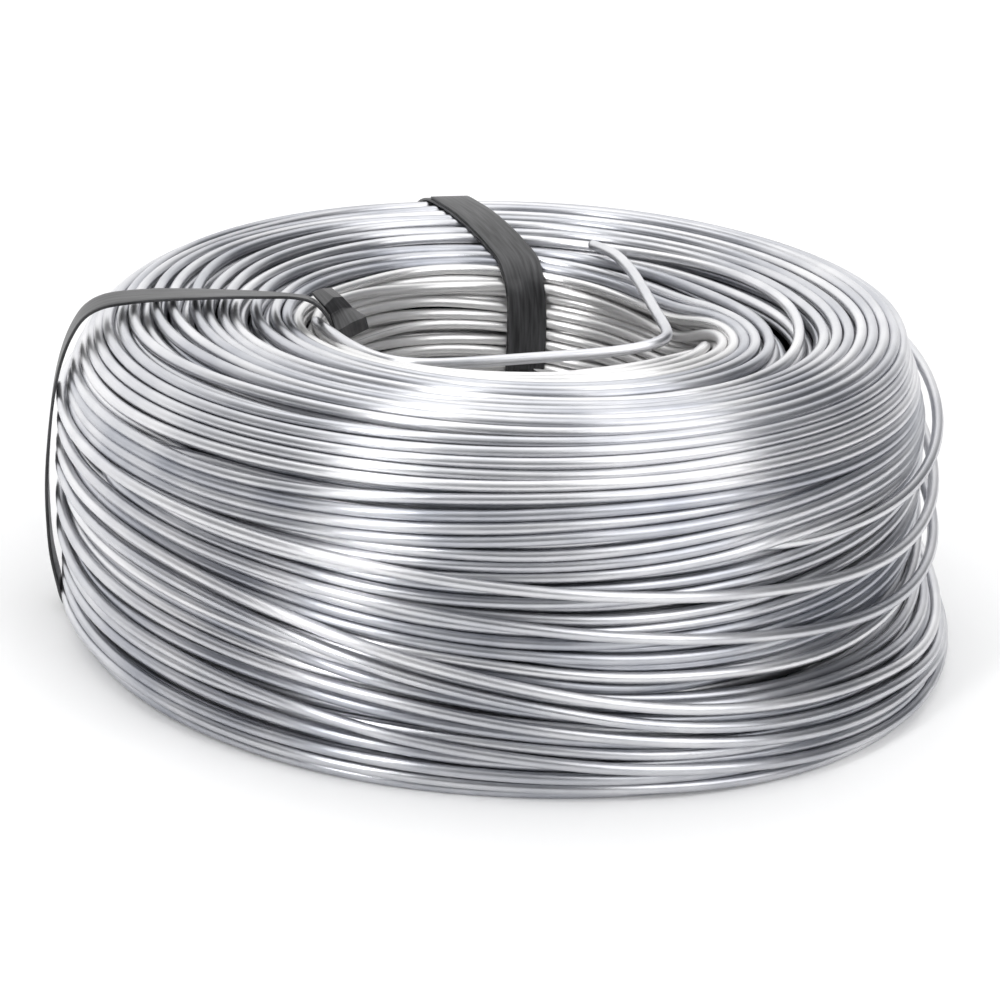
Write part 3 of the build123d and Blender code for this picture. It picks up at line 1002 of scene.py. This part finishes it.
# %% Band finish
STRIP_STRETCH = (0.07, 0.9, 1.0)
black_strapping, nodes, links, shader = new_finish("black_strapping")
stretch = nodes.new("ShaderNodeMapping")
stretch.inputs["Scale"].default_value = STRIP_STRETCH
links.new(stored(nodes, "strip_place")["Vector"], stretch.inputs["Vector"])
scuffs = noise(nodes, links, stretch.outputs["Vector"], scale=1.0, detail=5.0)
scuffed = two_tones(nodes, links, scuffs, (0.35, 0.75), ((0.013, 0.013, 0.014), (0.075, 0.075, 0.079)))
links.new(scuffed, shader.inputs["Base Color"])
grooves = nodes.new("ShaderNodeBump")
grooves.inputs["Strength"].default_value = 0.25
grooves.inputs["Distance"].default_value = 0.0003
links.new(scuffs, grooves.inputs["Height"])
links.new(grooves.outputs["Normal"], shader.inputs["Normal"])
shader.inputs["Roughness"].default_value = 0.4
shader.inputs["Specular IOR Level"].default_value = 0.5
for piece in band_pieces:
    piece.data.materials.append(black_strapping)
print("band finish has", len(nodes), "nodes")

# %% [markdown]
# ## The floor
# The coil lies on a plain pale floor that fills the picture. To the camera, and in the metal, the
# floor glows a little, more so farther out, so that it reads as white without more light on the coil.
# Near the coil the glow is faint, which keeps the shadow.

# %% Floor
GLOW_DISTANCES, GLOW_STRENGTHS = (0.25, 1.2), (0.1, 0.5)
bpy.ops.object.select_all(action="DESELECT")
bpy.ops.mesh.primitive_plane_add(size=8.0, location=(0.0, 0.0, 0.0))
floor = bpy.context.object
floor.name = "floor"
pale_floor, nodes, links, shader = new_finish("pale_floor")
shader.inputs["Base Color"].default_value = (0.9, 0.9, 0.9, 1.0)
shader.inputs["Roughness"].default_value = 0.9
shader.inputs["Specular IOR Level"].default_value = 0.1
shader.inputs["Emission Color"].default_value = (1.0, 1.0, 1.0, 1.0)
ray = nodes.new("ShaderNodeLightPath").outputs
seen = calculate(nodes, links, "ADD", ray["Is Camera Ray"], ray["Is Glossy Ray"])
seen = calculate(nodes, links, "ADD", seen, ray["Is Transmission Ray"])
far_out = nodes.new("ShaderNodeVectorMath")
far_out.operation = "LENGTH"
links.new(nodes.new("ShaderNodeTexCoord").outputs["Object"], far_out.inputs[0])
glow = remap(nodes, links, far_out.outputs["Value"], GLOW_DISTANCES, GLOW_STRENGTHS)
links.new(calculate(nodes, links, "MULTIPLY", seen, glow), shader.inputs["Emission Strength"])
floor.data.materials.append(pale_floor)
print("floor finish has", len(nodes), "nodes")

# %% [markdown]
# ## The room
# Bright metal is a mirror, so what it shows is the room. Near the horizon in front it is dark, which
# gives the turns their dark edges. It grows bright overhead, and a pale backdrop stands behind the
# coil, a little to the left, where the crown looks. A picture of a studio could be used, but a few
# nodes are easier to change.

# %% Room
ROOM_STOPS = ((0.0, (0.11, 0.115, 0.13)), (0.55, (0.18, 0.185, 0.2)), (0.88, (1.15, 1.15, 1.15)))
ROOM_STRENGTH = 0.7
BACKDROP_WAY, BACKDROP_COLOUR = (-0.44, 0.898, 0.0), (1.8, 1.8, 1.8, 1.0)
BACKDROP_EDGE = (0.1, 0.85)
world = bpy.data.worlds.new("studio")
bpy.context.scene.world = world
world.use_nodes = True
room, room_links = world.node_tree.nodes, world.node_tree.links
way = room.new("ShaderNodeTexCoord").outputs["Generated"]
split = room.new("ShaderNodeSeparateXYZ")
room_links.new(way, split.inputs["Vector"])
first_stop, middle_stop, last_stop = ROOM_STOPS
rise = room.new("ShaderNodeValToRGB")
for stop, (position, colour) in zip(rise.color_ramp.elements, (first_stop, last_stop)):
    stop.position = position
    stop.color = (*colour, 1.0)
rise.color_ramp.elements.new(middle_stop[0]).color = (*middle_stop[1], 1.0)
room_links.new(split.outputs["Z"], rise.inputs["Fac"])
behind = room.new("ShaderNodeVectorMath")
behind.operation = "DOT_PRODUCT"
behind.inputs[1].default_value = BACKDROP_WAY
room_links.new(way, behind.inputs[0])
fade = room.new("ShaderNodeMapRange")
fade.interpolation_type = "SMOOTHSTEP"
fade.inputs["From Min"].default_value, fade.inputs["From Max"].default_value = BACKDROP_EDGE
room_links.new(behind.outputs["Value"], fade.inputs["Value"])
backdrop = room.new("ShaderNodeMix")
backdrop.data_type = "RGBA"
room_links.new(fade.outputs["Result"], backdrop.inputs["Factor"])
room_links.new(rise.outputs["Color"], backdrop.inputs["A"])
backdrop.inputs["B"].default_value = BACKDROP_COLOUR
room_links.new(backdrop.outputs["Result"], room["Background"].inputs["Color"])
room["Background"].inputs["Strength"].default_value = ROOM_STRENGTH
print("room has", len(room), "nodes")

# %% [markdown]
# ## The lamps
# Three lamps show in the metal: a big soft one overhead, a tall narrow one at the front left, which
# draws the bright column on the wall, and a wider one at the front right. Their brightness is given as
# seen from the coil, so a lamp can be moved or resized without changing how bright it looks.

# %% Lamps
LAMP_AIM = Vector((0.0, 0.0, 0.05))


def soft_lamp(name, azimuth, elevation, distance, width, height, radiance):
    """A rectangular lamp that faces the coil, with its brightness given as seen from the coil."""
    data = bpy.data.lights.new(name, "AREA")
    data.shape = "RECTANGLE"
    data.size, data.size_y = width, height
    data.energy = radiance * math.pi * width * height
    lamp = bpy.data.objects.new(name, data)
    bpy.context.scene.collection.objects.link(lamp)
    way_out = Vector((math.cos(math.radians(azimuth)) * math.cos(math.radians(elevation)),
                      math.sin(math.radians(azimuth)) * math.cos(math.radians(elevation)),
                      math.sin(math.radians(elevation))))
    lamp.location = LAMP_AIM + distance * way_out
    lamp.rotation_euler = way_out.to_track_quat("Z", "Y").to_euler()
    print(name, "lamp at", [round(v, 2) for v in lamp.location])


soft_lamp("overhead", azimuth=90.0, elevation=78.0, distance=1.5, width=1.6, height=1.6, radiance=0.9)
soft_lamp("left_strip", azimuth=236.0, elevation=32.0, distance=1.1, width=0.13, height=0.9, radiance=10.3)
soft_lamp("right_front", azimuth=316.0, elevation=34.0, distance=1.2, width=0.8, height=0.9, radiance=2.3)
